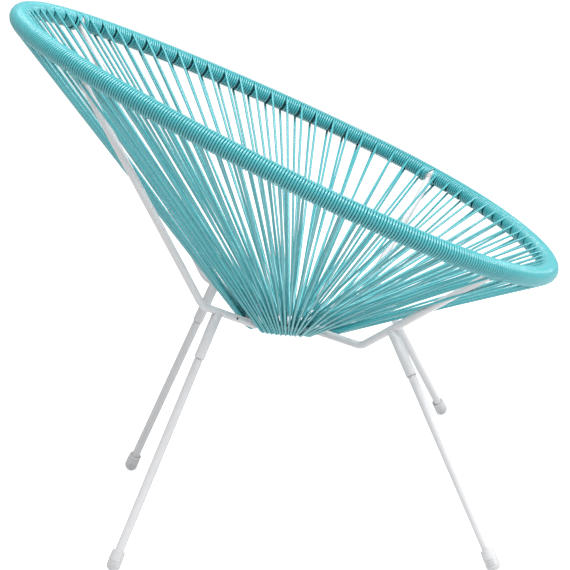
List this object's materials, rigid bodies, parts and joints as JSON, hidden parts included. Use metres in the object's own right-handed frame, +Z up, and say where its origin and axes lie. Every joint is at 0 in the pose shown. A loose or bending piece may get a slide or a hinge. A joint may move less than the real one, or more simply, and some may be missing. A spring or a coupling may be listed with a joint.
{
  "type": "acapulco chair",
  "caption": "Low lounge chair: a tilted oval rim wound with plastic cord, a bowl of cords strained down to a small ring, and splayed tube legs with foot caps.",
  "frame": {"origin": "middle of the chair's footprint box, on the floor", "axes": "+Z up, -Y the way the sitter faces, +X to the sitter's left"},
  "size_m": [0.7368, 0.7982, 0.8408],
  "materials": {
    "cord": "smooth glossy turquoise plastic cord",
    "frame": "light grey-white powder coat",
    "hoop": "dark undercoat, all but hidden by the winding",
    "cap": "satin white moulded plastic"
  },
  "bodies": {
    "root": {"back_bar_left": "frame", "back_bar_right": "frame", "foot_cap_back_left": "cap", "foot_cap_back_right": "cap", "foot_cap_front_left": "cap", "foot_cap_front_right": "cap", "front_bar_left": "frame", "front_bar_right": "frame", "leg_back_left": "frame", "leg_back_right": "frame", "leg_front_left": "frame", "leg_front_right": "frame", "leg_socket_back_left": "frame", "leg_socket_back_right": "frame", "leg_socket_front_left": "frame", "leg_socket_front_right": "frame", "rim_hoop": "hoop", "rim_winding_back": "cord", "rim_winding_front": "cord", "rim_winding_left": "cord", "rim_winding_right": "cord", "seat_cord_01": "cord", "seat_cord_02": "cord", "seat_cord_03": "cord", "seat_cord_04": "cord", "seat_cord_05": "cord", "seat_cord_06": "cord", "seat_cord_07": "cord", "seat_cord_08": "cord", "seat_cord_09": "cord", "seat_cord_10": "cord", "seat_cord_11": "cord", "seat_cord_12": "cord", "seat_cord_13": "cord", "seat_cord_14": "cord", "seat_cord_15": "cord", "seat_cord_16": "cord", "seat_cord_17": "cord", "seat_cord_18": "cord", "seat_cord_19": "cord", "seat_cord_20": "cord", "seat_cord_21": "cord", "seat_ring": "frame"}
  },
  "joints": []
}
